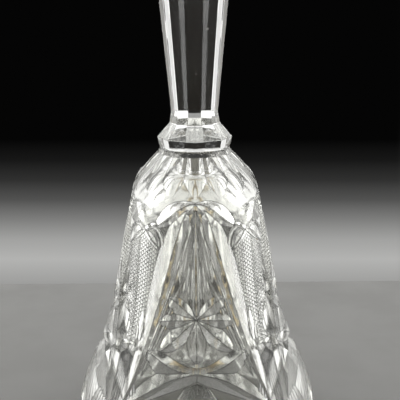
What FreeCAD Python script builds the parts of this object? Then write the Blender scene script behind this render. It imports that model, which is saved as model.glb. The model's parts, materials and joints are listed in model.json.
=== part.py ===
import FreeCAD, Part
import math
import os

from FreeCAD import Vector

# Cut crystal table bell: a hollow cut-glass cup, an eight-sided glass grip bonded to its crown, and a
# clapper that hangs inside on a chain from a brass fitting cemented into the top of the cavity.
#
# The frame is the bell's own: millimetres, +Z up, origin on the bell's axis at the plane of its rim. The
# cup's cut pattern repeats in four A panels; the middle of one faces the front, -Y. Angles on the cup are
# in degrees from the front, growing towards +X.

# Driving dimensions
BELL_HEIGHT = 170.0
CUP_HEIGHT = 94.0
CAVITY_HEIGHT = 84.0
PANELS = 4
SHOULDER_FLUTES = 16
GRIP_SIDES = 8
CHAIN_LINKS = 10

# Cup: the uncut outside and the inside, each as (radius, height) from the rim up
OUTER_OUTLINE = [
    (39.3, 0.0), (40.2, 6.0), (37.3, 17.5), (33.9, 25.0), (29.8, 36.0), (26.7, 49.0), (23.8, 65.0),
    (21.4, 76.0), (19.8, 83.0), (16.2, 89.2), (12.3, 93.6),
]  # fmt: skip
CROWN_RADIUS = 11.8
INNER_OUTLINE = [
    (35.0, 0.0), (34.5, 8.0), (31.2, 19.0), (26.6, 31.0), (22.3, 45.0), (19.6, 58.0), (16.8, 71.0),
    (12.6, 79.0), (7.0, 83.2), (0.0, CAVITY_HEIGHT),
]  # fmt: skip

# Shoulder flutes, ground with a round-edged wheel
FLUTE_WHEEL_RADIUS = 4.2
FLUTE_DEPTH = 1.15
FLUTE_TOP = 93.4
FLUTE_MIDDLE = 88.5
FLUTE_END = 81.5
FLUTE_RUN_OUT = 0.1  # how far the wheel has left the glass at a flute's end

# Mitre cuts, ground with a V-edged wheel: half the width and the depth of each kind at its widest
LEG_CUT = (3.0, 1.6)
ARCH_CUT = (2.6, 1.4)
PETAL_CUT = (2.4, 1.8)
CRESCENT_CUT = (3.1, 2.5)
LOWER_ARM_CUT = (3.3, 2.6)
RAY_CUT = (2.0, 1.2)
TOOL_LIFT = 1.2  # how far each tool stands clear of the glass

# Hanger: a flanged brass ferrule on a flat seat ground into the top of the cavity, in a blind socket
SEAT_RADIUS = 5.2
SOCKET_RADIUS = 3.2
SOCKET_DEPTH = 5.2
FERRULE_RADIUS = 2.4
FERRULE_LENGTH = 4.8
FLANGE_RADIUS = 4.6
FLANGE_THICKNESS = 0.8
FLANGE_CHAMFER = 0.2
EYE_RADIUS = 2.0  # to the middle of its wire
EYE_WIRE = 0.5
EYE_SHANK_LENGTH = 3.0
EYE_DROP = 1.6  # from the flange to the top of the eye

# Chain of oval links, every other one turned a quarter turn; wire sizes are radii
LINK_WIRE = 0.42
LINK_OPENING = 4.4
LINK_BOW = 1.5  # to the middle of the wire
RUNNING_GAP = 0.03

# Clapper: a drilled faceted ball held by two bead caps on a headed pin with a loop
BALL_RADIUS = 7.5
BALL_BORE = 0.8
BALL_SIDES = 12
BALL_ROWS = 6
BALL_TABLE_LATITUDE = 72  # the flat ends are above this
PIN_WIRE = 0.5
PIN_LOOP_RADIUS = 1.6  # to the middle of its wire
CAP_RADIUS = 3.4
CAP_THICKNESS = 0.45
CAP_HUB_RADIUS = 1.4
CAP_HUB_HEIGHT = 0.9
HUB_CLEARANCE = 0.15
PIN_HEAD_RADIUS = 1.1
PIN_HEAD_THICKNESS = 0.7

# Grip: (corner radius, height above its foot); the last entry is the point of its crown
BOND_THICKNESS = 0.1
GRIP_FOOT = CUP_HEIGHT + BOND_THICKNESS
GRIP_HEIGHT = BELL_HEIGHT - GRIP_FOOT
GRIP_OUTLINE = [
    (11.4, 0.0), (12.1, 3.2), (8.1, 7.8), (7.5, 11.7), (12.7, 65.2), (10.4, 71.2), (4.6, 74.6),
    (0.0, GRIP_HEIGHT),
]  # fmt: skip
BOND_RADIUS = 10.2

UP = Vector(0, 0, 1)
ORIGIN = Vector(0, 0, 0)


def at(degrees, radius, height):
    """A point at an angle from the front."""
    turn = math.radians(degrees)
    return Vector(radius * math.sin(turn), -radius * math.cos(turn), height)


def turned(shape, degrees, centre=ORIGIN, axis=UP):
    copy = shape.copy()
    copy.rotate(centre, axis, degrees)
    return copy


def outline_curve(outline):
    curve = Part.BSplineCurve()
    curve.interpolate([Vector(radius, 0, height) for radius, height in outline])
    return curve


OUTER_CURVE = outline_curve(OUTER_OUTLINE)


def on_cup(degrees, height):
    """The point of the uncut cup at a place, and the outward normal there."""
    low, high = OUTER_CURVE.FirstParameter, OUTER_CURVE.LastParameter
    for _ in range(40):
        middle = (low + high) / 2
        if OUTER_CURVE.value(middle).z < height:
            low = middle
        else:
            high = middle
    radius = OUTER_CURVE.value(low).x
    along = OUTER_CURVE.tangent(low)[0]
    return at(degrees, radius, height), at(degrees, along.z, -along.x).normalize()


def closed_solid(corners):
    """A solid from triangles or flat polygons, each a list of points."""
    faces = [Part.Face(Part.makePolygon(points + points[:1])) for points in corners]
    return Part.makeSolid(Part.makeShell(faces))


def wheel_cut(stations):
    """The tool of one mitre cut. A station is (degrees, height, half width, depth) on the uncut cup; one
    with no depth is the point where the cut runs out."""
    rings = []
    for index, (degrees, height, half_width, depth) in enumerate(stations):
        point, normal = on_cup(degrees, height)
        if depth == 0:
            rings.append([point])
            continue
        before = on_cup(*stations[max(index - 1, 0)][:2])[0]
        after = on_cup(*stations[min(index + 1, len(stations) - 1)][:2])[0]
        across = normal.cross(after - before).normalize() * half_width * (1 + TOOL_LIFT / depth)
        clear = point + normal * TOOL_LIFT
        rings.append([point - normal * depth, clear + across, clear - across])
    corners = [ring for ring in (rings[0], rings[-1]) if len(ring) == 3]
    for near, far in zip(rings, rings[1:]):
        for side in range(3):
            a, b = near[side % len(near)], near[(side + 1) % len(near)]
            c, d = far[side % len(far)], far[(side + 1) % len(far)]
            if len(near) == 3:
                corners.append([a, b, c])
            if len(far) == 3:
                corners.append([b, d, c])
    return closed_solid(corners)


def leaf(start, end, cut, bend=0.0):
    """A cut pointed at both ends. Its middle is bent upwards by a height."""
    half_width, depth = cut
    stations = []
    for share, size in ((0, 0), (0.25, 0.78), (0.5, 1), (0.75, 0.78), (1, 0)):
        degrees = start[0] + (end[0] - start[0]) * share
        height = start[1] + (end[1] - start[1]) * share + bend * math.sin(math.pi * share)
        stations.append((degrees, height, half_width * size, depth * size))
    return wheel_cut(stations)


def ray(start, end, cut):
    """A cut that starts at a point and widens until it leaves the rim."""
    half_width, depth = cut
    stations = []
    for share in (0, 0.35, 0.7, 1):
        degrees = start[0] + (end[0] - start[0]) * share
        height = start[1] + (end[1] - start[1]) * share
        stations.append((degrees, height, half_width * share, depth * share))
    return wheel_cut(stations)


def flower_cuts():
    centre = (0.0, 44.5)
    tips = [(0.0, 32.0)]
    for side in (-1, 1):
        tips += [(side * 19.5, 51.2), (side * 25.0, 43.4), (side * 22.0, 34.6)]
    return [leaf(centre, tip, PETAL_CUT) for tip in tips]


def leg_cut(side):
    """The long cut from the top of a panel down its edge and over the rim."""
    half_width, depth = LEG_CUT
    path = [
        (12.5, 73.0, 0.5), (23.5, 60.0, 0.95), (29.5, 48.0, 1.0), (34.0, 36.0, 1.0), (39.0, 24.0, 0.9),
        (42.5, 12.0, 0.8), (45.0, -1.5, 0.7),
    ]  # fmt: skip
    stations = [(0, 80.0, 0, 0)]
    stations += [(side * degrees, height, half_width * size, depth * size) for degrees, height, size in path]
    return wheel_cut(stations)


def panel_cuts():
    """Every mitre cut of the A panel at the front."""
    crossing = (0.0, 28.4)
    cuts = flower_cuts()
    for side in (-1, 1):
        cuts.append(leg_cut(side))
        cuts.append(leaf((side * 1.0, 79.8), (side * 34.0, 72.3), ARCH_CUT, bend=1.4))
        cuts.append(leaf(crossing, (side * 30.5, 33.4), CRESCENT_CUT, bend=-1.2))
        cuts.append(leaf(crossing, (side * 38.0, 17.0), LOWER_ARM_CUT, bend=2.2))
    for step in range(-4, 5):
        cuts.append(ray((step * 1.6, 25.5 - abs(step) * 0.5), (step * 7.0, -2.0), RAY_CUT))
    return cuts


def flute_tool(degrees):
    """A round-nosed tool that follows the shoulder and rises out of the glass at the flute's end."""
    places = [on_cup(degrees, height) for height in (FLUTE_TOP, FLUTE_MIDDLE, FLUTE_END)]
    lifts = (FLUTE_WHEEL_RADIUS - FLUTE_DEPTH,) * 2 + (FLUTE_WHEEL_RADIUS + FLUTE_RUN_OUT,)
    path = Part.Arc(*[point + normal * lift for (point, normal), lift in zip(places, lifts)]).toShape()
    start = path.tangentAt(path.FirstParameter)
    section = Part.Wire(Part.makeCircle(FLUTE_WHEEL_RADIUS, path.valueAt(path.FirstParameter), start))
    return Part.Wire(path).makePipeShell([section], True, True)


def turned_solid(curve, closing_points):
    """The solid swept by a curved outline closed by straight lines back to its start."""
    points = [curve.EndPoint] + closing_points + [curve.StartPoint]
    lines = [Part.makeLine(a, b) for a, b in zip(points, points[1:])]
    return Part.Face(Part.Wire([curve.toShape()] + lines)).revolve(ORIGIN, UP, 360)


def bell_cup():
    crown = [Vector(CROWN_RADIUS, 0, CUP_HEIGHT), Vector(0, 0, CUP_HEIGHT), ORIGIN]
    cup = turned_solid(OUTER_CURVE, crown)
    cup = cup.cut([flute_tool(index * 360 / SHOULDER_FLUTES) for index in range(SHOULDER_FLUTES)])
    for cut in panel_cuts():
        cup = cup.cut([turned(cut, index * 360 / PANELS) for index in range(PANELS)])
    cavity = turned_solid(outline_curve(INNER_OUTLINE), [ORIGIN])
    seat = Part.makeCylinder(SEAT_RADIUS, 1, Vector(0, 0, CAVITY_HEIGHT - 1))
    socket = Part.makeCylinder(SOCKET_RADIUS, SOCKET_DEPTH, Vector(0, 0, CAVITY_HEIGHT))
    return cup.cut([cavity, seat, socket])


def handle():
    """Flat facets between regular eight-sided sections, with corners at the front and sides."""
    rings = []
    for radius, height in GRIP_OUTLINE[:-1]:
        rings.append([at(side * 360 / GRIP_SIDES, radius, GRIP_FOOT + height) for side in range(GRIP_SIDES)])
    point = Vector(0, 0, GRIP_FOOT + GRIP_HEIGHT)
    corners = [rings[0]]
    for side in range(GRIP_SIDES):
        after = (side + 1) % GRIP_SIDES
        for low, high in zip(rings, rings[1:]):
            corners.append([low[side], low[after], high[after], high[side]])
        corners.append([rings[-1][side], rings[-1][after], point])
    return closed_solid(corners)


def bond_film():
    return Part.makeCylinder(BOND_RADIUS, BOND_THICKNESS, Vector(0, 0, CUP_HEIGHT))


def chain_heights():
    """Heights of each link's top wire, with the pin loop's top wire last, from the eye down."""
    upper_wire = eye_height() - EYE_RADIUS
    heights = [upper_wire + EYE_WIRE + LINK_WIRE + RUNNING_GAP]
    for _ in range(1, CHAIN_LINKS):
        heights.append(heights[-1] - LINK_OPENING + RUNNING_GAP)
    last_wire = heights[-1] - LINK_OPENING - 2 * LINK_WIRE
    return heights + [last_wire + LINK_WIRE + PIN_WIRE + RUNNING_GAP]


def eye_height():
    """Height of the middle of the eye's ring."""
    return CAVITY_HEIGHT - FLANGE_THICKNESS - EYE_DROP - EYE_WIRE - EYE_RADIUS


def ball_height():
    """Height of the ball's middle: its upper cap's hub stands just under the pin's loop."""
    loop_bottom = chain_heights()[-1] - 2 * PIN_LOOP_RADIUS - PIN_WIRE
    return loop_bottom - HUB_CLEARANCE - CAP_HUB_HEIGHT - CAP_THICKNESS - BALL_RADIUS


def hanger_ferrule():
    bottom = CAVITY_HEIGHT - FLANGE_THICKNESS
    flange = Part.makeCylinder(FLANGE_RADIUS, FLANGE_THICKNESS, Vector(0, 0, bottom))
    flange = flange.makeChamfer(FLANGE_CHAMFER, flange.Edges[:1] + flange.Edges[2:3])
    tube = Part.makeCylinder(FERRULE_RADIUS, FERRULE_LENGTH + FLANGE_THICKNESS, Vector(0, 0, bottom))
    shank_hole = Part.makeCylinder(EYE_WIRE, EYE_SHANK_LENGTH + FLANGE_THICKNESS, Vector(0, 0, bottom))
    return flange.fuse(tube).removeSplitter().cut(shank_hole)


def hanger_cement():
    """The cement between the ferrule and the socket's wall and end."""
    seat = Vector(0, 0, CAVITY_HEIGHT)
    socket = Part.makeCylinder(SOCKET_RADIUS, SOCKET_DEPTH, seat)
    return socket.cut(Part.makeCylinder(FERRULE_RADIUS, FERRULE_LENGTH, seat))


def hanger_eye():
    """A wire ring facing front and back, with its shank up into the ferrule."""
    middle = eye_height()
    ring = Part.makeTorus(EYE_RADIUS, EYE_WIRE, Vector(0, 0, middle), Vector(0, 1, 0))
    shank_end = CAVITY_HEIGHT + EYE_SHANK_LENGTH
    shank = Part.makeCylinder(EYE_WIRE, shank_end - middle - EYE_RADIUS, Vector(0, 0, middle + EYE_RADIUS))
    return ring.fuse(shank)


def chain_link(top_wire, across):
    """An oval wire link below a height; across is the direction of its width."""
    high = Vector(0, 0, top_wire - LINK_BOW)
    low = Vector(0, 0, top_wire - LINK_OPENING - 2 * LINK_WIRE + LINK_BOW)
    side = across * LINK_BOW
    over = Part.Arc(high - side, high + UP * LINK_BOW, high + side).toShape()
    under = Part.Arc(low + side, low - UP * LINK_BOW, low - side).toShape()
    path = [over, Part.makeLine(high + side, low + side), under, Part.makeLine(low - side, high - side)]
    section = Part.Wire(Part.makeCircle(LINK_WIRE, high - side, UP))
    return Part.Wire(path).makePipeShell([section], True, True)


def clapper_pin():
    """A loop facing the sides on a shank through the ball, with a riveted head under it."""
    top_wire = chain_heights()[-1]
    loop_middle = Vector(0, 0, top_wire - PIN_LOOP_RADIUS)
    loop = Part.makeTorus(PIN_LOOP_RADIUS, PIN_WIRE, loop_middle, Vector(1, 0, 0))
    head_top = ball_height() - BALL_RADIUS - CAP_THICKNESS - CAP_HUB_HEIGHT
    shank_top = top_wire - 2 * PIN_LOOP_RADIUS
    shank = Part.makeCylinder(PIN_WIRE, shank_top - head_top, Vector(0, 0, head_top))
    head = Part.makeCylinder(PIN_HEAD_RADIUS, PIN_HEAD_THICKNESS, Vector(0, 0, head_top - PIN_HEAD_THICKNESS))
    return Part.Shape.fuse(loop, [shank, head])


def bead_cap(side):
    """A dished cap with a hub, on top of the ball (side 1) or under it (side -1)."""
    middle = Vector(0, 0, ball_height())
    dish = Part.makeSphere(BALL_RADIUS + CAP_THICKNESS, middle)
    hub_top = BALL_RADIUS + CAP_THICKNESS + CAP_HUB_HEIGHT
    column = Part.makeCylinder(CAP_RADIUS, hub_top, middle, UP * side)
    hub = Part.makeCylinder(CAP_HUB_RADIUS, hub_top, middle, UP * side)
    cap = dish.common(column).fuse(hub)
    pin_hole = Part.makeCylinder(PIN_WIRE, hub_top, middle, UP * side)
    return cap.cut([Part.makeSphere(BALL_RADIUS, middle), pin_hole])


def clapper_ball():
    """A bead of flat triangular facets whose corners all lie on a sphere, drilled through."""
    middle = ball_height()
    rings = []
    for row in range(BALL_ROWS + 1):
        latitude = math.radians(BALL_TABLE_LATITUDE * (2 * row / BALL_ROWS - 1))
        step = 360 / BALL_SIDES
        radius = BALL_RADIUS * math.cos(latitude)
        height = middle + BALL_RADIUS * math.sin(latitude)
        rings.append([at((side + row % 2 / 2) * step, radius, height) for side in range(BALL_SIDES)])
    corners = [rings[0], rings[-1]]
    for row, (low, high) in enumerate(zip(rings, rings[1:])):
        for side in range(BALL_SIDES):
            after = (side + 1) % BALL_SIDES
            tip, base = (side, after) if row % 2 == 0 else (after, side)
            corners.append([low[side], low[after], high[tip]])
            corners.append([high[side], high[after], low[base]])
    bore = Part.makeCylinder(BALL_BORE, 2 * BALL_RADIUS, Vector(0, 0, middle - BALL_RADIUS))
    return closed_solid(corners).cut(bore)


def pieces():
    """Every piece by its name."""
    named = {
        "bell_cup": bell_cup(),
        "handle": handle(),
        "bond_film": bond_film(),
        "hanger_ferrule": hanger_ferrule(),
        "hanger_cement": hanger_cement(),
        "hanger_eye": hanger_eye(),
        "clapper_pin": clapper_pin(),
        "bead_cap_upper": bead_cap(1),
        "bead_cap_lower": bead_cap(-1),
        "clapper_ball": clapper_ball(),
    }
    for index, top_wire in enumerate(chain_heights()[:-1]):
        across = Vector(0, 1, 0) if index % 2 == 0 else Vector(1, 0, 0)
        named[f"chain_link_{index + 1:02d}"] = chain_link(top_wire, across)
    return named


os.makedirs("parts", exist_ok=True)
for name, shape in pieces().items():
    shape.exportStep(f"parts/{name}.step")
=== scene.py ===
import json
import math

import bmesh
import bpy
import numpy as np
from mathutils import Matrix, Vector

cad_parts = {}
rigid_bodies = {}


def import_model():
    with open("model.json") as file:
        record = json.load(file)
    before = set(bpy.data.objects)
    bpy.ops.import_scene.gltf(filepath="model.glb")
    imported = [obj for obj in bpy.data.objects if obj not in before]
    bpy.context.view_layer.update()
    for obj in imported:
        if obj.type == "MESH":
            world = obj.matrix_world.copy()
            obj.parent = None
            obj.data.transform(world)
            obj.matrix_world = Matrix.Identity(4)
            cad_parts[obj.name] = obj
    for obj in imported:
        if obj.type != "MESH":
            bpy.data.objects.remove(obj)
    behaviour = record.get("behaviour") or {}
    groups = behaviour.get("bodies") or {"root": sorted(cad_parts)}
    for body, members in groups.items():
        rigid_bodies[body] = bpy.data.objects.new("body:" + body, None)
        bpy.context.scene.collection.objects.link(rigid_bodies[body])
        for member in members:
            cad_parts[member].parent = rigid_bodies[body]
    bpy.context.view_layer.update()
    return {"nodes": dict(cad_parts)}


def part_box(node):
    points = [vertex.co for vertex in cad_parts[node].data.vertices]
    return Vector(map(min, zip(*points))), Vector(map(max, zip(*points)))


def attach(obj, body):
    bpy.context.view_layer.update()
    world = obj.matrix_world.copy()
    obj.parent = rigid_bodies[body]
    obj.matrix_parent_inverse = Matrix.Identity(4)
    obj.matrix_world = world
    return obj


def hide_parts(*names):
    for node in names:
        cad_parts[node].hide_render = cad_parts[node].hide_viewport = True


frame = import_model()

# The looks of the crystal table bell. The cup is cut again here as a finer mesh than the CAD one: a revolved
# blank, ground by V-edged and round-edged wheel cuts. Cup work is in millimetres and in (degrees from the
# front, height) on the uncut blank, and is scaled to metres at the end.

MM = 0.001
CUP_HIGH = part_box("bell_cup")[1]
GRIP_LOW, GRIP_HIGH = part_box("handle")
SOCKET_LOW, SOCKET_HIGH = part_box("hanger_cement")
BOND_LOW, BOND_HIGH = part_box("bond_film")
CUP_HEIGHT = CUP_HIGH.z / MM
SOCKET_RADIUS = SOCKET_HIGH.x / MM
SEAT_HEIGHT = SOCKET_LOW.z / MM
SOCKET_TOP = SOCKET_HIGH.z / MM
GRIP_FOOT = GRIP_LOW.z / MM
GRIP_HEIGHT = GRIP_HIGH.z / MM - GRIP_FOOT

# The uncut outside and the inside of the cup, as (radius, height)
CROWN_CHAMFER = 0.4
OUTER_OUTLINE = [
    (39.3, 0.0), (40.2, 6.0), (37.3, 17.5), (33.9, 25.0), (29.8, 36.0), (26.7, 49.0), (23.8, 65.0),
    (21.4, 76.0), (19.8, 83.0), (16.2, 89.2), (12.3, CUP_HEIGHT - CROWN_CHAMFER),
]  # fmt: skip
CROWN_RADIUS = 11.8
SEAT_RADIUS = 5.2
SEAT_LIP = 0.4  # the straight end of the hole under the socket's seat
INNER_OUTLINE = [
    (35.0, 0.0), (34.5, 8.0), (31.2, 19.0), (26.6, 31.0), (22.3, 45.0), (19.6, 58.0), (16.8, 71.0),
    (12.6, 79.0), (7.0, 83.2), (SEAT_RADIUS, SEAT_HEIGHT - SEAT_LIP),
]  # fmt: skip

# The grip, as (corner radius, height above its foot); the last entry is its point
GRIP_SIDES = 8
GRIP_OUTLINE = [
    (11.4, 0.0), (12.1, 3.2), (8.1, 7.8), (7.5, 11.7), (12.7, 65.2), (10.4, 71.2), (4.6, 74.6),
    (0.0, GRIP_HEIGHT),
]  # fmt: skip
EDGE_SOFTENING = 0.3  # width of the polished facet along each edge of the grip

PANELS = 4
WEDGE = 180 / PANELS  # a panel mirrors about its middle, so one wedge of half a panel makes the cup
LIFT = 1.2  # how far every cutter stands clear of the blank
ON_SIDE = 1e-4  # how far a face may lie off a side plane of the wedge and still belong to that side
SEAM = 0.0006  # vertices nearer than this, where two wedges meet, become one
SLIVER = 0.0005  # edges shorter than this are closed up
LEAST_CUT = 0.12  # a face counts as cut when it lies this far below the blank


# ---------------------------------------------------------------------------- outlines and surface places

def spline(points, count):
    """A natural cubic spline through points, as count rows. The root of each step's length sets its span,
    which keeps the curve from looping where points are unevenly spaced."""
    knots = np.array(points, float)
    steps = np.hypot(*np.diff(knots, axis=0).T) ** 0.5
    starts = np.concatenate([[0], np.cumsum(steps)])
    size = len(knots)
    matrix = np.eye(size)
    for i in range(1, size - 1):
        matrix[i, i - 1 : i + 2] = steps[i - 1], 2 * (steps[i - 1] + steps[i]), steps[i]
    slopes = np.diff(knots, axis=0) / steps[:, None]
    right = np.zeros_like(knots)
    right[1:-1] = 6 * np.diff(slopes, axis=0)
    bend = np.linalg.solve(matrix, right)
    where = np.linspace(0, starts[-1], count)
    span = np.clip(np.searchsorted(starts, where, side="right") - 1, 0, size - 2)
    before = ((starts[span + 1] - where) / steps[span])[:, None]
    after = 1 - before
    straight = before * knots[span] + after * knots[span + 1]
    curved = (before**3 - before) * bend[span] + (after**3 - after) * bend[span + 1]
    return straight + curved * (steps[span] ** 2)[:, None] / 6


FINE_OUTER = spline(OUTER_OUTLINE, 600)


def cup_radius(height):
    """The uncut cup's outer radius."""
    return np.interp(height, FINE_OUTER[:, 1], FINE_OUTER[:, 0])


def polar(radius, degrees, height):
    """A point from its radius, its degrees from the front, and its height."""
    turn = math.radians(degrees)
    return Vector((radius * math.sin(turn), -radius * math.cos(turn), height))


def on_cup(degrees, height):
    """The point of the uncut cup at a place, and the outward normal there."""
    fall = cup_radius(height - 0.5) - cup_radius(height + 0.5)
    return polar(cup_radius(height), degrees, height), polar(1.0, degrees, fall).normalized()


# ---------------------------------------------------------------------------- wheel cuts

# The edges of the two wheels, as (across, depth): from -1 to 1 across, and 1 at their deepest
V_WHEEL = [(-1.0, 0.0), (0.0, 1.0), (1.0, 0.0)]
ROUND_ARC = 1.318  # half of the round wheel's arc that enters the glass, in radians
ROUND_ARC_COSINE = 0.25
ROUND_WHEEL = [
    (math.sin(turn) / math.sin(ROUND_ARC), (math.cos(turn) - ROUND_ARC_COSINE) / (1 - ROUND_ARC_COSINE))
    for turn in np.linspace(-ROUND_ARC, ROUND_ARC, 13)
]


def smooth_path(places, count):
    """Places along a straight line or a spline."""
    if len(places) == 2:
        share = np.linspace(0, 1, count)[:, None]
        return np.array(places[0]) * (1 - share) + np.array(places[1]) * share
    return spline(places, count)


def cutter(places, sizes, wheel=V_WHEEL):
    """The tool of one cut: places are (degrees, height) and sizes (half width, depth), one per station. A V
    opens on above the blank, and a round wheel's sides stand straight there."""
    points = [on_cup(*place) for place in places]
    rows = []
    for i, ((point, normal), (half_width, depth)) in enumerate(zip(points, sizes)):
        ahead = points[min(i + 1, len(points) - 1)][0] - points[max(i - 1, 0)][0]
        across = normal.cross(ahead).normalized()
        row = [point + across * half_width * x - normal * depth * y for x, y in wheel]
        spread = half_width * (1 + LIFT / depth) if wheel is V_WHEEL else half_width
        row[0] = point + normal * LIFT - across * spread
        row[-1] = point + normal * LIFT + across * spread
        rows.append(row)
    return rows


def add_cutter(collection, rows):
    """Skins a cutter's rows as a closed mesh, and puts it in the collection."""
    width = len(rows[0])
    vertices = [tuple(v) for row in rows for v in row]
    faces = []
    for i in range(len(rows) - 1):
        for j in range(width):
            k = (j + 1) % width
            faces.append([i * width + j, i * width + k, (i + 1) * width + k, (i + 1) * width + j])
    faces.append(list(range(width)))
    faces.append([(len(rows) - 1) * width + j for j in reversed(range(width))])
    mesh = bpy.data.meshes.new("cutter")
    mesh.from_pydata(vertices, [], faces)
    form = bmesh.new()
    form.from_mesh(mesh)
    bmesh.ops.recalc_face_normals(form, faces=form.faces)
    if form.calc_volume(signed=True) < 0:
        bmesh.ops.reverse_faces(form, faces=form.faces)
    form.to_mesh(mesh)
    form.free()
    collection.objects.link(bpy.data.objects.new("cutter", mesh))


def sized_cut(places, half_width, depth, size_at, stations, wheel=V_WHEEL):
    """A cut that keeps its section's shape. size_at gives its size at a share of its length."""
    path = smooth_path(places, stations)
    sizes = []
    for share in np.linspace(0, 1, stations):
        size = size_at(share)
        sizes.append((half_width * size, depth * size))
    return cutter(path, sizes, wheel)


def leaf(places, half_width, depth, lean=1.2, fullness=0.7, stations=17):
    """A cut pointed at both ends, widest past its middle when lean is over 1."""
    def size_at(share):
        return max(math.sin(math.pi * share**lean), 0.001) ** fullness

    return sized_cut(places, half_width, depth, size_at, stations)


def ray(places, half_width, depth):
    """A cut that widens evenly to its end, from a small start."""
    first_size = 0.14

    def size_at(share):
        return first_size + (1 - first_size) * share

    return sized_cut(places, half_width, depth, size_at, stations=10)


def groove(places, half_width, depth, stations=15, run_out=0.12):
    """A cut of even width whose ends run out."""
    def size_at(share):
        return max(min(1, share / run_out, (1 - share) / run_out), 0.02)

    return sized_cut(places, half_width, depth, size_at, stations)


# ---------------------------------------------------------------------------- the cut pattern
# Each panel lies under an arch. Each function here gives the cuts of one half of a panel, and its place
# argument mirrors or turns a (degrees, height).

PAST_RIM = -2.0  # the height at which a cut that runs out over the rim ends

# The leg of the panel's arch, as (degrees, height, half width) down its V line
LEG = [
    (6.0, 78.2, 0.3), (11.0, 75.0, 2.5), (15.0, 70.5, 3.5), (19.0, 65.5, 4.0), (22.5, 60.0, 4.1),
    (26.8, 52.0, 3.7), (29.5, 46.0, 3.0), (32.0, 40.0, 2.5), (34.6, 34.0, 2.2), (37.6, 26.0, 2.1),
    (40.4, 18.0, 2.1), (43.0, 8.0, 2.2), (44.6, PAST_RIM, 2.2),
]  # fmt: skip
LEG_STEEPNESS = 0.6  # depth over half width


def shoulder_flutes(place):
    """Round flutes down from the crown. Each closes to a point over the lower half of its length."""
    half_width, depth, foot = 4.7, 1.35, 80.8
    shares = np.linspace(0, 1, 20)
    open_share = [min(1, max(1 - share, 0.002) / 0.5) for share in shares]
    sizes = [(half_width * share**0.8, depth * share**1.4) for share in open_share]
    cuts = []
    for middle in (0.0, WEDGE / 2, WEDGE):
        path = smooth_path([place(middle, CUP_HEIGHT + 0.6), place(middle, foot)], len(shares))
        cuts.append(cutter(path, sizes, ROUND_WHEEL))
    return cuts


def arch(place):
    """The wide leaf over the panel, and the finer cuts that join it to the next panel's arch."""
    wide = [place(-1.5, 79.8), place(12, 78.4), place(23, 75.6), place(35, 71.9)]
    ogee = [place(31, 73.0), place(39, 72.0), place(45, 70.3), place(52, 67.8), place(62, 65.2)]
    corner = [place(25.5, 65.0), place(26.0, 67.6), place(30.5, 71.0), place(39, 72.3)]
    small = [place(28.5, 65.4), place(34, 68.6), place(41, 70.6)]
    return [leaf(wide, 2.9, 1.8), groove(ogee, 0.85, 0.5), groove(corner, 0.7, 0.4), leaf(small, 1.6, 0.6)]


def leg(place):
    """The long tapering cut between the arch and the rim."""
    stations = spline(LEG, 44)
    path = [place(degrees, height) for degrees, height, _ in stations]
    return [cutter(path, [(half_width, half_width * LEG_STEEPNESS) for _, _, half_width in stations])]


def leg_lines(place):
    """Two fine lines down the inner side of the leg, which draw nearer to it at both ends."""
    cuts = []
    for inward, half_width in ((4.3, 0.8), (7.4, 0.7)):
        line = []
        for degrees, height, _ in LEG[1:10]:
            gap = inward * np.interp(height, [26, 60, 75], [0.45, 1.0, 0.75])
            line.append(place(degrees - math.degrees(gap / cup_radius(height)), height))
        cuts.append(groove(line, half_width, half_width * 0.5, stations=30, run_out=0.06))
    return cuts


def apex_fan(place):
    """Touching V cuts that spread from the apex. The ones further out end higher."""
    def size_at(share):
        closing = math.sqrt(min(1, (1 - share) / 0.18))
        return max(share**0.85 * closing, 0.02)

    cuts = []
    for spread, end in ((3.5, 49.0), (7.0, 51.5), (10.4, 55.5), (13.6, 58.5)):
        foot = place(spread * (1 + (60 - end) * 0.025), end)
        cuts.append(sized_cut([place(spread * 0.1, 77.8), foot], 1.15, 0.72, size_at, 16))
    return cuts


# The flower's centre, and its petals as (degrees and height of the tip, half width, depth)
FLOWER_HEIGHT = 44.6
PETALS = [(19.8, 51.3, 2.6, 1.75), (25.3, 43.4, 2.45, 1.7), (22.3, 34.6, 3.0, 1.95), (0, 31.6, 3.2, 2.05)]


def flower(place):
    """Petals from a shared centre: one points straight down, and the others spread to this side."""
    cuts = []
    for degrees, height, half_width, depth in PETALS:
        path = [place(0, FLOWER_HEIGHT), place(degrees, height)]
        cuts.append(leaf(path, half_width, depth, fullness=0.62))
    return cuts


def middle_flute(place):
    """The round flute down the middle of the panel, from the apex to the flower."""
    def size_at(share):
        return max(share**0.7, 0.03) * min(1, (1.04 - share) / 0.12)

    return [sized_cut([place(0, 78.0), place(0, FLOWER_HEIGHT + 1.0)], 1.5, 0.85, size_at, 18, ROUND_WHEEL)]


def crossing_leaves(place):
    """Leaves that cross at the panel's middle: a crescent above, and an arm that runs down to the leg."""
    upper = [place(-5, 28.9), place(0, 28.8), place(10, 29.2), place(20, 30.9), place(31, 33.8)]
    lower = [place(-5, 28.9), place(0, 28.6), place(12, 27.1), place(24, 23.8), place(40.5, 16.0)]
    return [
        leaf(upper, 3.2, 2.3, lean=1.9, fullness=0.55, stations=33),
        leaf(lower, 3.4, 2.4, lean=1.1, fullness=0.62, stations=25),
    ]


def rim_fan(place):
    """Rays from under the crossing leaves to the rim."""
    cuts = []
    for step in range(6):
        start = place(step * 1.2, 26.0 - step * 0.3)
        cuts.append(ray([start, place(step * 6.4, PAST_RIM)], 2.5, 1.5))
    return cuts


def side_leaves(place):
    """Small leaves that end the crossed field above the rim's flare."""
    return [
        leaf([place(38.0, 47.0), place(37.4, 36.0)], 1.6, 1.0),
        leaf([place(41.4, 42.5), place(40.2, 36.4)], 1.1, 0.7),
        leaf([place(36.8, 33.4), place(45.8, 34.9)], 1.6, 1.1),
    ]


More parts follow.
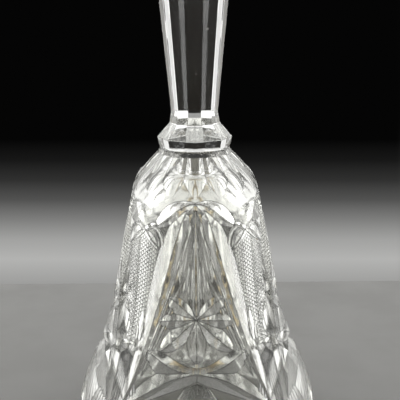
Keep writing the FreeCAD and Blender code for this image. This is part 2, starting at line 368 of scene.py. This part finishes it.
def side_fan(place):
    """Rays from between two panels down the rim's flare."""
    cuts = []
    for step in range(8):
        start = place(WEDGE - step * 0.8, 33.0 - step * 0.3)
        cuts.append(ray([start, place(WEDGE - step * 2.9, PAST_RIM + step * 1.3)], 1.45, 1.05))
    return cuts


# The crossed field between two legs: its ends, how much lower a degree aside its upper end is, and its half
# width in degrees at some heights
HATCH_LOW, HATCH_HIGH = 34.5, 70.0
HATCH_DROOP = 0.31
HATCH_HEIGHTS = [34, 40, 48, 58, 66]
HATCH_HALVES = [3.0, 7.0, 11.0, 15.0, 17.5]


def in_hatch(degrees, height):
    """Whether a place lies in a crossed field."""
    offset = abs(degrees % (2 * WEDGE) - WEDGE)
    if not HATCH_LOW < height < HATCH_HIGH - offset * HATCH_DROOP:
        return False
    return offset < np.interp(height, HATCH_HEIGHTS, HATCH_HALVES)


def hatch(place):
    """Fine V lines at one slope, each clipped to the field. The mirrored half crosses them."""
    pitch, slope = 1.05, math.radians(34)
    half_width, depth = 0.55, 0.27
    reach, field_radius = 20.0, 25.5  # the degrees a line can run each way, and the cup's radius there
    step = pitch / math.cos(slope)
    rise = reach * math.radians(1) * field_radius * math.tan(slope)
    cuts = []
    row = HATCH_LOW - rise
    while row < HATCH_HIGH + rise:
        run = []
        for share in np.linspace(-1, 1, 121):
            spot = (WEDGE + reach * share, row + rise * share)
            if in_hatch(*spot):
                run.append(spot)
        if len(run) > 8:  # a shorter run only nicks a corner of the field
            ends = [place(*run[0]), place(*run[len(run) // 2]), place(*run[-1])]
            cuts.append(groove(ends, half_width, depth, stations=11, run_out=0.1))
        row += step
    return cuts


# The fan under the top of an arch: its ends, and its half width in degrees at some heights
FAN_LOW, FAN_HIGH = 51.5, 78
FAN_HEIGHTS = [52, 60, 78]
FAN_HALVES = [21, 16, 3]


def in_fan(degrees, height):
    """Whether a place lies in a fan."""
    offset = abs((degrees + WEDGE) % (2 * WEDGE) - WEDGE)
    return FAN_LOW < height < FAN_HIGH and offset < np.interp(height, FAN_HEIGHTS, FAN_HALVES)


PATTERN = [
    shoulder_flutes, arch, leg, leg_lines, apex_fan, middle_flute, flower, crossing_leaves, rim_fan,
    side_leaves, side_fan, hatch,
]  # fmt: skip


def wedge_cutters(collection):
    """Every cut that reaches the wedge next to the front. One that is its own mirror image is added once."""
    def plain(degrees, height):
        return degrees, height

    def mirrored(degrees, height):
        return -degrees, height

    def neighbour(degrees, height):
        return 2 * WEDGE - degrees, height

    seen = set()
    for place in (plain, mirrored, neighbour):
        for kind in PATTERN:
            for rows in kind(place):
                angles = [math.degrees(math.atan2(v.x, -v.y)) for row in rows for v in row]
                if max(angles) < 0 or min(angles) > WEDGE:
                    continue
                middle = sum(rows[len(rows) // 2], Vector())
                key = tuple(round(c, 1) for c in middle)
                if key not in seen:
                    seen.add(key)
                    add_cutter(collection, rows)


# ---------------------------------------------------------------------------- the cup's mesh

def wedge_blank():
    """One wedge of the uncut cup as a closed mesh."""
    outer = [tuple(p) for p in spline(OUTER_OUTLINE, 96)]
    inner = [tuple(p) for p in spline(INNER_OUTLINE, 56)]
    top = [(CROWN_RADIUS, CUP_HEIGHT), (0, CUP_HEIGHT), (0, SOCKET_TOP), (SOCKET_RADIUS, SOCKET_TOP)]
    section = outer + top + [(SOCKET_RADIUS, SEAT_HEIGHT), (SEAT_RADIUS, SEAT_HEIGHT)] + inner[::-1]
    steps = int(WEDGE)  # one to a degree
    vertices, numbers, faces = [], {}, []

    def vertex(step, index):
        radius, height = section[index]
        key = (0 if radius == 0 else step, index)
        if key not in numbers:
            numbers[key] = len(vertices)
            vertices.append(tuple(polar(radius, WEDGE * step / steps, height)))
        return numbers[key]

    count = len(section)
    for step in range(steps):
        for index in range(count):
            after = (index + 1) % count
            spots = [(step, index), (step + 1, index), (step + 1, after), (step, after)]
            corners = list(dict.fromkeys(vertex(*spot) for spot in spots))
            if len(corners) > 2:
                faces.append(corners)
    faces.append([vertex(0, index) for index in range(count)])
    faces.append([vertex(steps, index) for index in reversed(range(count))])
    mesh = bpy.data.meshes.new("wedge_blank")
    mesh.from_pydata(vertices, [], faces)
    return mesh


def ground_mesh(blank, cutters):
    """The blank's mesh with every cutter of the collection taken out of it at once."""
    grind = blank.modifiers.new("grind", "BOOLEAN")
    grind.operation = "DIFFERENCE"
    grind.operand_type = "COLLECTION"
    grind.collection = cutters
    grind.solver = "MANIFOLD"
    bpy.context.view_layer.update()
    evaluated = blank.evaluated_get(bpy.context.evaluated_depsgraph_get())
    return bpy.data.meshes.new_from_object(evaluated)


def put_away(cutters):
    """Removes the cutters, so that they don't count as pieces."""
    for tool in list(cutters.objects):
        data = tool.data
        bpy.data.objects.remove(tool)
        bpy.data.meshes.remove(data)
    bpy.data.collections.remove(cutters)


def open_sides(form):
    """Removes the flat faces of the wedge's two sides, where the next wedges join on."""
    far_normal = polar(1.0, WEDGE + 90, 0.0)
    sides = []
    for face in form.faces:
        on_front = all(abs(v.co.x) < ON_SIDE for v in face.verts)
        on_far = all(abs(v.co.dot(far_normal)) < ON_SIDE for v in face.verts)
        if on_front or on_far:
            sides.append(face)
    bmesh.ops.delete(form, geom=sides, context="FACES")


def cut_wedge():
    """The finished wedge as a bmesh, open at its two sides."""
    wedge = bpy.data.objects.new("wedge", wedge_blank())
    bpy.context.scene.collection.objects.link(wedge)
    cutters = bpy.data.collections.new("cutters")
    bpy.context.scene.collection.children.link(cutters)
    wedge_cutters(cutters)
    mesh = ground_mesh(wedge, cutters)
    put_away(cutters)
    bpy.data.objects.remove(wedge)
    form = bmesh.new()
    form.from_mesh(mesh)
    open_sides(form)
    return form


CUT_SLOT, CAVITY_SLOT, FINE_SLOT, UNCUT_SLOT = range(4)


def cup_slot(face):
    """The material slot of a face of the cup, from where it lies and which way it faces."""
    middle = face.calc_center_median()
    if face.normal.x * middle.x + face.normal.y * middle.y < 0 and middle.z < SEAT_HEIGHT:
        return CAVITY_SLOT
    degrees = math.degrees(math.atan2(middle.x, -middle.y))
    if in_hatch(degrees, middle.z) or in_fan(degrees, middle.z):
        return FINE_SLOT
    depth = cup_radius(middle.z) - middle.xy.length
    return CUT_SLOT if depth > LEAST_CUT else UNCUT_SLOT


def whole_cup():
    """All wedges, every other one mirrored, joined into one closed mesh with its material slots set."""
    wedge = cut_wedge()
    wedge_mesh = bpy.data.meshes.new("wedge")
    wedge.to_mesh(wedge_mesh)
    wedge.free()
    form = bmesh.new()
    for turn in range(PANELS):
        for flip in (1, -1):
            verts_before = len(form.verts)
            faces_before = len(form.faces)
            form.from_mesh(wedge_mesh)
            form.verts.ensure_lookup_table()
            form.faces.ensure_lookup_table()
            spin = Matrix.Rotation(math.radians(2 * WEDGE * turn), 4, "Z")
            move = spin @ Matrix.Diagonal((flip, 1, 1, 1))
            for v in form.verts[verts_before:]:
                v.co = move @ v.co
            if flip < 0:
                bmesh.ops.reverse_faces(form, faces=form.faces[faces_before:])
    bmesh.ops.remove_doubles(form, verts=form.verts, dist=SEAM)
    bmesh.ops.dissolve_degenerate(form, edges=form.edges, dist=SLIVER)
    form.normal_update()
    for face in form.faces:
        face.material_index = cup_slot(face)
    bmesh.ops.transform(form, matrix=Matrix.Scale(MM, 4), verts=form.verts)
    mesh = bpy.data.meshes.new("bell_cup_crystal")
    form.to_mesh(mesh)
    form.free()
    return mesh


def shade(mesh, degrees):
    """Smooth shading except over edges sharper than an angle."""
    mesh.shade_smooth()
    mesh.set_sharp_from_angle(angle=math.radians(degrees))


def new_piece(name, mesh, body, materials, slot, *nodes):
    """A visible piece on a body, in place of CAD nodes."""
    piece = bpy.data.objects.new(name, mesh)
    bpy.context.scene.collection.objects.link(piece)
    for material in materials:
        mesh.materials.append(material)
    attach(piece, body)
    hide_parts(*nodes)


def grip_mesh():
    """Flat facets between eight-sided sections, with every edge polished to a narrow facet."""
    form = bmesh.new()
    rings = []
    for radius, height in GRIP_OUTLINE[:-1]:
        corners = [polar(radius, side * 360 / GRIP_SIDES, GRIP_FOOT + height) for side in range(GRIP_SIDES)]
        rings.append([form.verts.new(corner) for corner in corners])
    point = form.verts.new((0, 0, GRIP_FOOT + GRIP_HEIGHT))
    form.faces.new(rings[0])
    for side in range(GRIP_SIDES):
        after = (side + 1) % GRIP_SIDES
        for low, high in zip(rings, rings[1:]):
            form.faces.new([low[side], low[after], high[after], high[side]])
        form.faces.new([rings[-1][side], rings[-1][after], point])
    bmesh.ops.recalc_face_normals(form, faces=form.faces)
    bmesh.ops.bevel(
        form, geom=form.edges[:], offset=EDGE_SOFTENING / 2, segments=2, affect="EDGES", profile=0.5
    )
    bmesh.ops.transform(form, matrix=Matrix.Scale(MM, 4), verts=form.verts)
    mesh = bpy.data.meshes.new("grip_crystal")
    form.to_mesh(mesh)
    form.free()
    return mesh


WETTING = 0.03 * MM  # how far the adhesive's faces lie inside the glass, which leaves no air between them


def bond_mesh():
    """A thin disc of clear adhesive that wets the glass above and below it."""
    form = bmesh.new()
    depth = BOND_HIGH.z - BOND_LOW.z + 2 * WETTING
    middle = Matrix.Translation((0, 0, (BOND_LOW.z + BOND_HIGH.z) / 2))
    radius = BOND_HIGH.x
    bmesh.ops.create_cone(
        form, cap_ends=True, segments=96, radius1=radius, radius2=radius, depth=depth, matrix=middle
    )
    mesh = bpy.data.meshes.new("bond_clear")
    form.to_mesh(mesh)
    form.free()
    return mesh


# ---------------------------------------------------------------------------- materials

def new_material(name):
    """A material with an empty node tree."""
    material = bpy.data.materials.new(name)
    material.use_nodes = True
    material.node_tree.nodes.clear()
    return material


def node(tree, kind, inputs=None, **settings):
    """Adds a shader node. An input is given a value, or the socket it is wired to."""
    made = tree.nodes.new("ShaderNode" + kind)
    for name, value in settings.items():
        setattr(made, name, value)
    for name, value in (inputs or {}).items():
        if isinstance(value, bpy.types.NodeSocket):
            tree.links.new(value, made.inputs[name])
        else:
            made.inputs[name].default_value = value
    return made


def calculate(tree, operation, *values):
    """One step of arithmetic on values or sockets."""
    return node(tree, "Math", dict(enumerate(values)), operation=operation).outputs[0]


def rescale(tree, value, low, high, new_low=0.0, new_high=1.0, smooth=True):
    """Maps low to high onto new_low to new_high, and stays at the ends beyond them."""
    inputs = {"Value": value, "From Min": low, "From Max": high, "To Min": new_low, "To Max": new_high}
    kind = "SMOOTHSTEP" if smooth else "LINEAR"
    return node(tree, "MapRange", inputs, interpolation_type=kind).outputs[0]


MIX_COLOURS_IN = (6, 7)  # the places of a Mix node's two colour inputs
MIX_COLOUR_OUT = 2


def blend_colours(tree, share, first, second):
    """The first colour where share is 0, and the second where it is 1."""
    mixed = node(tree, "Mix", {0: share}, data_type="RGBA")
    for index, colour in zip(MIX_COLOURS_IN, (first, second)):
        if isinstance(colour, bpy.types.NodeSocket):
            tree.links.new(colour, mixed.inputs[index])
        else:
            mixed.inputs[index].default_value = (*colour, 1)
    return mixed.outputs[MIX_COLOUR_OUT]


def noise(tree, scale, detail=2.0, roughness=0.5, stretch=(1, 1, 1)):
    """Noise in the piece's own metres, with scale in features per metre."""
    place = node(tree, "TexCoord").outputs["Object"]
    mapped = node(tree, "Mapping", {"Vector": place, "Scale": stretch}).outputs[0]
    inputs = {"Vector": mapped, "Scale": scale, "Detail": detail, "Roughness": roughness}
    return node(tree, "TexNoise", inputs).outputs["Fac"]


def specks(tree, cells, size, share):
    """A mask of scattered dots: about share of the cells hold one, and size is a share of a cell."""
    place = node(tree, "TexCoord").outputs["Object"]
    cell = node(tree, "TexVoronoi", {"Vector": place, "Scale": cells})
    chosen = node(tree, "SeparateColor", {0: cell.outputs["Color"]}).outputs[0]
    near = calculate(tree, "LESS_THAN", cell.outputs["Distance"], size)
    picked = calculate(tree, "LESS_THAN", chosen, share)
    return calculate(tree, "MULTIPLY", near, picked)


LEAD_GLASS_IOR = 1.545
PAINTED_EDGE_SHADE = (0.0, 0.0, 0.0)  # painted shade: black painted into the glass's colour along the rounded edge of a cut, for the light lost there
FROST_WHITE = (0.75, 0.75, 0.72, 1)
SPECK_COVER = 0.6  # how much of the glass under a speck of dust it hides


def rounded_edges(tree, radius):
    """The normal with the piece's edges rounded, and a mask that is 1 where that turns it most."""
    soft = node(tree, "Bevel", {"Radius": radius}, samples=4).outputs[0]
    flat = node(tree, "NewGeometry").outputs["Normal"]
    agreement = node(tree, "VectorMath", {0: soft, 1: flat}, operation="DOT_PRODUCT").outputs["Value"]
    return soft, rescale(tree, agreement, 0.998, 0.968)


def polish_marks(tree, ripple, soft):
    """The normal with broad and fine ripples on it."""
    height = calculate(tree, "MULTIPLY_ADD", noise(tree, 900, 3), 0.15, noise(tree, 130, 1))
    relief = {"Height": height, "Strength": ripple, "Distance": MM, "Normal": soft}
    return node(tree, "Bump", relief).outputs[0]


def white_cover(tree, dust, frost):
    """How much white covers the glass: specks of dust, and streaks left by the wheel."""
    settled = calculate(tree, "MULTIPLY", specks(tree, cells=260, size=0.09, share=dust), SPECK_COVER)
    grain = noise(tree, 1100, detail=4, roughness=0.6, stretch=(1, 1, 0.15))
    streaks = rescale(tree, grain, 0.42, 0.66, 0.0, frost)
    return calculate(tree, "MAXIMUM", settled, streaks)


def crystal(name, tint, ripple, haze, dust, gloss_loss=0.0, edge_round=0.0, frost=0.0):
    """Lead crystal. The ripple is what polishing leaves, haze is fine wear, dust is the share of cells that
    hold a speck, and gloss_loss is the roughness of a surface that was never polished. Edges are rounded by
    edge_round millimetres, with painted shade darkening the glass's colour along them, and frost is the most
    that white wheel streaks cover."""
    material = new_material(name)
    tree = material.node_tree
    soft, edges = rounded_edges(tree, edge_round * MM)
    tone = blend_colours(tree, noise(tree, 60, 3), tint, [0.985 * part for part in tint])
    # painted shade: the glass's colour goes to black along its rounded edges
    tone = blend_colours(tree, edges, tone, PAINTED_EDGE_SHADE)
    scuffs = noise(tree, 350, detail=5, roughness=0.65)
    wear = rescale(tree, scuffs, 0.45, 0.75, gloss_loss, gloss_loss + haze)
    glass = node(tree, "BsdfPrincipled", {
        "Base Color": tone, "Transmission Weight": 1.0, "IOR": LEAD_GLASS_IOR, "Roughness": wear,
        "Normal": polish_marks(tree, ripple, soft),
    })  # fmt: skip
    white = node(tree, "BsdfDiffuse", {"Color": FROST_WHITE})
    cover = white_cover(tree, dust, frost)
    mixed = node(tree, "MixShader", {0: cover, 1: glass.outputs[0], 2: white.outputs[0]})
    node(tree, "OutputMaterial", {"Surface": mixed.outputs[0]})
    return material


def brass(name, colour, dull):
    """Plated brass wire and fittings, browned in patches and finely scratched."""
    material = new_material(name)
    tree = material.node_tree
    patches = rescale(tree, noise(tree, 700, 4), 0.42, 0.68)
    tone = blend_colours(tree, patches, colour, dull)
    scratches = noise(tree, 2500, detail=4, roughness=0.7, stretch=(1, 1, 0.15))
    roughness = calculate(tree, "MULTIPLY_ADD", patches, 0.22, 0.16)
    roughness = calculate(tree, "MULTIPLY_ADD", scratches, 0.12, roughness)
    bump = node(tree, "Bump", {"Height": scratches, "Strength": 0.25, "Distance": 0.05 * MM}).outputs[0]
    metal = node(tree, "BsdfPrincipled", {
        "Base Color": tone, "Metallic": 1.0, "Roughness": roughness, "Normal": bump,
    })  # fmt: skip
    node(tree, "OutputMaterial", {"Surface": metal.outputs[0]})
    return material


def plaster(name, colour, shadow):
    """Setting cement: mottled, matt and pitted."""
    material = new_material(name)
    tree = material.node_tree
    tone = blend_colours(tree, noise(tree, 900, 5), colour, shadow)
    pits = noise(tree, 4000, detail=4, roughness=0.6)
    bump = node(tree, "Bump", {"Height": pits, "Strength": 0.5, "Distance": 0.1 * MM}).outputs[0]
    roughness = calculate(tree, "MULTIPLY_ADD", pits, 0.3, 0.6)
    surface = node(tree, "BsdfPrincipled", {"Base Color": tone, "Roughness": roughness, "Normal": bump})
    node(tree, "OutputMaterial", {"Surface": surface.outputs[0]})
    return material


CUP_TINT = (0.985, 0.988, 0.957)
CUT_CRYSTAL = crystal(
    "cut_crystal", CUP_TINT, ripple=0.02, haze=0.03, dust=0.04, edge_round=0.5, frost=0.12
)
FINE_CRYSTAL = crystal(
    "fine_cut_crystal", CUP_TINT, ripple=0.02, haze=0.04, dust=0.0, edge_round=0.16, frost=0.06
)
UNCUT_CRYSTAL = crystal("uncut_crystal", CUP_TINT, ripple=0.02, haze=0.02, dust=0.04, edge_round=0.5)
CAVITY_CRYSTAL = crystal("cavity_crystal", CUP_TINT, ripple=0.05, haze=0.04, dust=0.0, gloss_loss=0.14)
CUP_MATERIALS = [CUT_CRYSTAL, CAVITY_CRYSTAL, FINE_CRYSTAL, UNCUT_CRYSTAL]
GRIP_CRYSTAL = crystal("grip_crystal", (0.985, 0.99, 0.985), ripple=0.012, haze=0.02, dust=0.12)
BALL_CRYSTAL = crystal("ball_crystal", (0.98, 0.985, 0.99), ripple=0.01, haze=0.02, dust=0.0)
BOND_RESIN = crystal("bond_resin", (0.985, 0.985, 0.97), ripple=0.01, haze=0.02, dust=0.0)
FITTING_BRASS = brass("fitting_brass", (0.82, 0.72, 0.52), (0.64, 0.53, 0.36))
CHAIN_BRASS = brass("chain_brass", (0.85, 0.75, 0.55), (0.68, 0.57, 0.38))
CEMENT = plaster("hanger_cement", (0.78, 0.76, 0.7), (0.62, 0.6, 0.54))


# ---------------------------------------------------------------------------- pieces

def finish_node(name, material):
    """Gives a CAD node its material."""
    mesh = frame["nodes"][name].data
    mesh.materials.clear()
    mesh.materials.append(material)


def add_pieces():
    """The cup, the grip and the adhesive are made here; the clapper and its hanger keep their CAD shapes."""
    cup = whole_cup()
    shade(cup, 12)
    new_piece("bell_cup_crystal", cup, "bell", CUP_MATERIALS, "cut_crystal", "bell_cup")
    new_piece("handle_crystal", grip_mesh(), "bell", [GRIP_CRYSTAL], "cut_crystal", "handle")
    new_piece("bond_clear", bond_mesh(), "bell", [BOND_RESIN], "cut_crystal", "bond_film")
    finish_node("clapper_ball", BALL_CRYSTAL)
    finish_node("hanger_cement", CEMENT)
    for name in frame["nodes"]:
        if name.startswith("chain_link"):
            finish_node(name, CHAIN_BRASS)
        elif name.startswith(("hanger_ferrule", "hanger_eye", "clapper_pin", "bead_cap")):
            finish_node(name, FITTING_BRASS)


# ---------------------------------------------------------------------------- stage, lights, camera
# The table and the light belong to one set that turns with the camera, as if the bell stood on a turntable.
# Lengths are in metres here.

CAMERA_PITCH = math.radians(13.7)
CAMERA_ROLL = math.radians(-0.5)
CAMERA_DISTANCE = 0.309
AIM_HEIGHT = 0.076  # where the camera's axis meets the bell's
LENS = 84.6
LENS_SHIFT = 0.01175
TABLE_BACK = 0.14  # from the bell's axis to the table's far edge
TABLE_HALF = 0.15
TABLE_GAP = 0.02 * MM  # air under the rim, so that glass and table never share a face
TABLE_TONES = (0.175, 0.173, 0.167), (0.155, 0.153, 0.147)


def table_material():
    """A dull, evenly mottled table top that is clear when seen from below."""
    material = new_material("table")
    tree = material.node_tree
    tone = blend_colours(tree, noise(tree, 8, 3), *TABLE_TONES)
    roughness = rescale(tree, noise(tree, 40, 4), 0.3, 0.7, 0.28, 0.4)
    surface = node(tree, "BsdfPrincipled", {"Base Color": tone, "Roughness": roughness})
    below = node(tree, "NewGeometry").outputs["Backfacing"]
    clear = node(tree, "BsdfTransparent")
    one_sided = node(tree, "MixShader", {0: below, 1: surface.outputs[0], 2: clear.outputs[0]})
    node(tree, "OutputMaterial", {"Surface": one_sided.outputs[0]})
    return material


def add_table():
    """The plain table. Its straight far edge stays behind the bell from every side."""
    mesh = bpy.data.meshes.new("table")
    near = -2 * TABLE_HALF
    corners = [(-TABLE_HALF, near), (TABLE_HALF, near), (TABLE_HALF, TABLE_BACK), (-TABLE_HALF, TABLE_BACK)]
    mesh.from_pydata([(x, y, -TABLE_GAP) for x, y in corners], [], [[0, 1, 2, 3]])
    mesh.materials.append(table_material())
    table = bpy.data.objects.new("table", mesh)
    bpy.context.scene.collection.objects.link(table)
    follow = table.constraints.new("LOCKED_TRACK")
    follow.target = bpy.context.scene.camera
    follow.track_axis = "TRACK_NEGATIVE_Y"
    follow.lock_axis = "LOCK_Z"
    return table


def band(tree, value, low, high, soft):
    """1 between two values and 0 outside them, with soft edges."""
    rising = rescale(tree, value, low - soft, low + soft)
    falling = rescale(tree, value, high - soft, high + soft, 1.0, 0.0)
    return calculate(tree, "MULTIPLY", rising, falling)


# The backdrop's light: (degrees above the camera's axis, brightness)
BACKDROP_GLOW = [
    (-9.0, 1.0), (-6.5, 0.35), (-5.2, 0.33), (-3.6, 0.45), (-2.4, 0.36), (-1.2, 0.21), (0.0, 0.085),
    (1.2, 0.03), (2.4, 0.009), (3.7, 0.0015),
]  # fmt: skip
BACKDROP_REACH = 13.0  # how far the backdrop reaches to each side and up, in degrees
BACKDROP_SOFTNESS = 1.0

# The lamps' places, in degrees: aside is from straight ahead to either side, and height is above the
# photograph's line of sight. A span is (low, high, softness), and a box has one aside and one in height.
SIDE_BOX = (36, 112, 5), (-50, 60, 10)
LOW_BOARD = (15, 36, 4), (-60, 2.5, 3)
WING_SPAN = (17, 40, 4)
TOP_BOX_EDGE = (17.5, 24)
NEAR_WALL_EDGE = (115, 150)
NEAR_WALL_SPAN = (-60, 5, 12)

SIDE_BOX_LIGHT = 1.35
TOP_BOX_LIGHT = 0.95
ROOM_LIGHT = 0.007
WING_LIGHT = 0.008  # as a share of the side boxes' light
LAMP_WHITE = (1.0, 1.0, 0.985, 1)
WARM_WALL = (0.2, 0.175, 0.13, 1)


def backdrop_glow(tree, up):
    """A pool of light low on a black backdrop."""
    low, high = BACKDROP_GLOW[0][0], BACKDROP_GLOW[-1][0]
    ramp = node(tree, "ValToRGB", {"Fac": rescale(tree, up, low, high, smooth=False)})
    stops = ramp.color_ramp.elements
    for degrees, _ in BACKDROP_GLOW[1:-1]:
        stops.new((degrees - low) / (high - low))
    for stop, (degrees, level) in zip(stops, BACKDROP_GLOW):
        stop.position = (degrees - low) / (high - low)
        stop.color = (level, level, 0.98 * level, 1)
    return ramp.outputs["Color"]


def lamp_angles(tree, table):
    """How far aside a direction is, and how high, in degrees. Both turn with the table."""
    towards = node(tree, "TexCoord", object=table).outputs["Object"]
    tilted = node(tree, "VectorRotate", {"Vector": towards, "Axis": (1, 0, 0), "Angle": CAMERA_PITCH})
    direction = node(tree, "VectorMath", {0: tilted.outputs[0]}, operation="NORMALIZE").outputs[0]
    right, ahead, upward = node(tree, "SeparateXYZ", {0: direction}).outputs
    turn = calculate(tree, "DEGREES", calculate(tree, "ARCTAN2", right, ahead))
    height = calculate(tree, "DEGREES", calculate(tree, "ARCSINE", upward))
    return calculate(tree, "ABSOLUTE", turn), height


def lamp_box(tree, aside, height, aside_span, height_span):
    """1 over a lamp's box and 0 outside it."""
    return calculate(tree, "MULTIPLY", band(tree, aside, *aside_span), band(tree, height, *height_span))


def add_lamps(tree, table):
    """Soft boxes at the sides and above, a dim room, and a warm wall behind the camera."""
    aside, height = lamp_angles(tree, table)
    side_boxes = lamp_box(tree, aside, height, *SIDE_BOX)
    low_boards = lamp_box(tree, aside, height, *LOW_BOARD)
    wings = calculate(tree, "MULTIPLY", band(tree, aside, *WING_SPAN), WING_LIGHT)
    sides = calculate(tree, "MAXIMUM", calculate(tree, "MAXIMUM", side_boxes, low_boards), wings)
    top_box = rescale(tree, height, *TOP_BOX_EDGE)
    strength = calculate(tree, "MULTIPLY_ADD", sides, SIDE_BOX_LIGHT, ROOM_LIGHT)
    strength = calculate(tree, "MULTIPLY_ADD", top_box, TOP_BOX_LIGHT, strength)
    lamps = node(tree, "Background", {"Color": LAMP_WHITE, "Strength": strength})
    behind = rescale(tree, aside, *NEAR_WALL_EDGE)
    wall = calculate(tree, "MULTIPLY", behind, band(tree, height, *NEAR_WALL_SPAN))
    near_wall = node(tree, "Background", {"Color": WARM_WALL, "Strength": wall})
    return node(tree, "AddShader", {0: lamps.outputs[0], 1: near_wall.outputs[0]}).outputs[0]


def add_world(table):
    """The lamps, and a backdrop that is always straight ahead of the camera."""
    world = bpy.data.worlds.new("studio")
    world.use_nodes = True
    tree = world.node_tree
    tree.nodes.clear()
    towards = node(tree, "TexCoord").outputs["Camera"]
    right, upward, ahead = node(tree, "SeparateXYZ", {0: towards}).outputs
    turn = calculate(tree, "DEGREES", calculate(tree, "ARCTAN2", right, ahead))
    rise = calculate(tree, "DEGREES", calculate(tree, "ARCTAN2", upward, ahead))
    ahead_only = band(tree, turn, -BACKDROP_REACH, BACKDROP_REACH, BACKDROP_SOFTNESS)
    low, high = BACKDROP_REACH - BACKDROP_SOFTNESS, BACKDROP_REACH + BACKDROP_SOFTNESS
    below_top = rescale(tree, rise, low, high, 1.0, 0.0)
    window = calculate(tree, "MULTIPLY", ahead_only, below_top)
    backdrop = node(tree, "Background", {"Color": backdrop_glow(tree, rise)})
    seen = node(tree, "MixShader", {0: window, 1: add_lamps(tree, table), 2: backdrop.outputs[0]})
    node(tree, "OutputWorld", {"Surface": seen.outputs[0]})
    bpy.context.scene.world = world


def add_camera():
    """The photograph's view: from the front, a little above, with the grip's top out of the frame."""
    data = bpy.data.cameras.new("camera")
    data.sensor_width = 36
    data.lens = LENS
    data.shift_x = LENS_SHIFT
    camera = bpy.data.objects.new("camera", data)
    back = CAMERA_DISTANCE * math.cos(CAMERA_PITCH)
    rise = CAMERA_DISTANCE * math.sin(CAMERA_PITCH)
    camera.location = (0, -back, AIM_HEIGHT + rise)
    camera.rotation_euler = (math.pi / 2 - CAMERA_PITCH, 0, 0)
    camera.rotation_euler.rotate_axis("Z", CAMERA_ROLL)
    bpy.context.scene.collection.objects.link(camera)
    bpy.context.scene.camera = camera


def set_up_render():
    """Enough bounces for light to pass through both walls of the cup and their cuts."""
    scene = bpy.context.scene
    scene.view_settings.view_transform = "Standard"
    scene.cycles.max_bounces = 26
    scene.cycles.transmission_bounces = 24
    scene.cycles.glossy_bounces = 10


add_pieces()
add_camera()
add_world(add_table())
set_up_render()
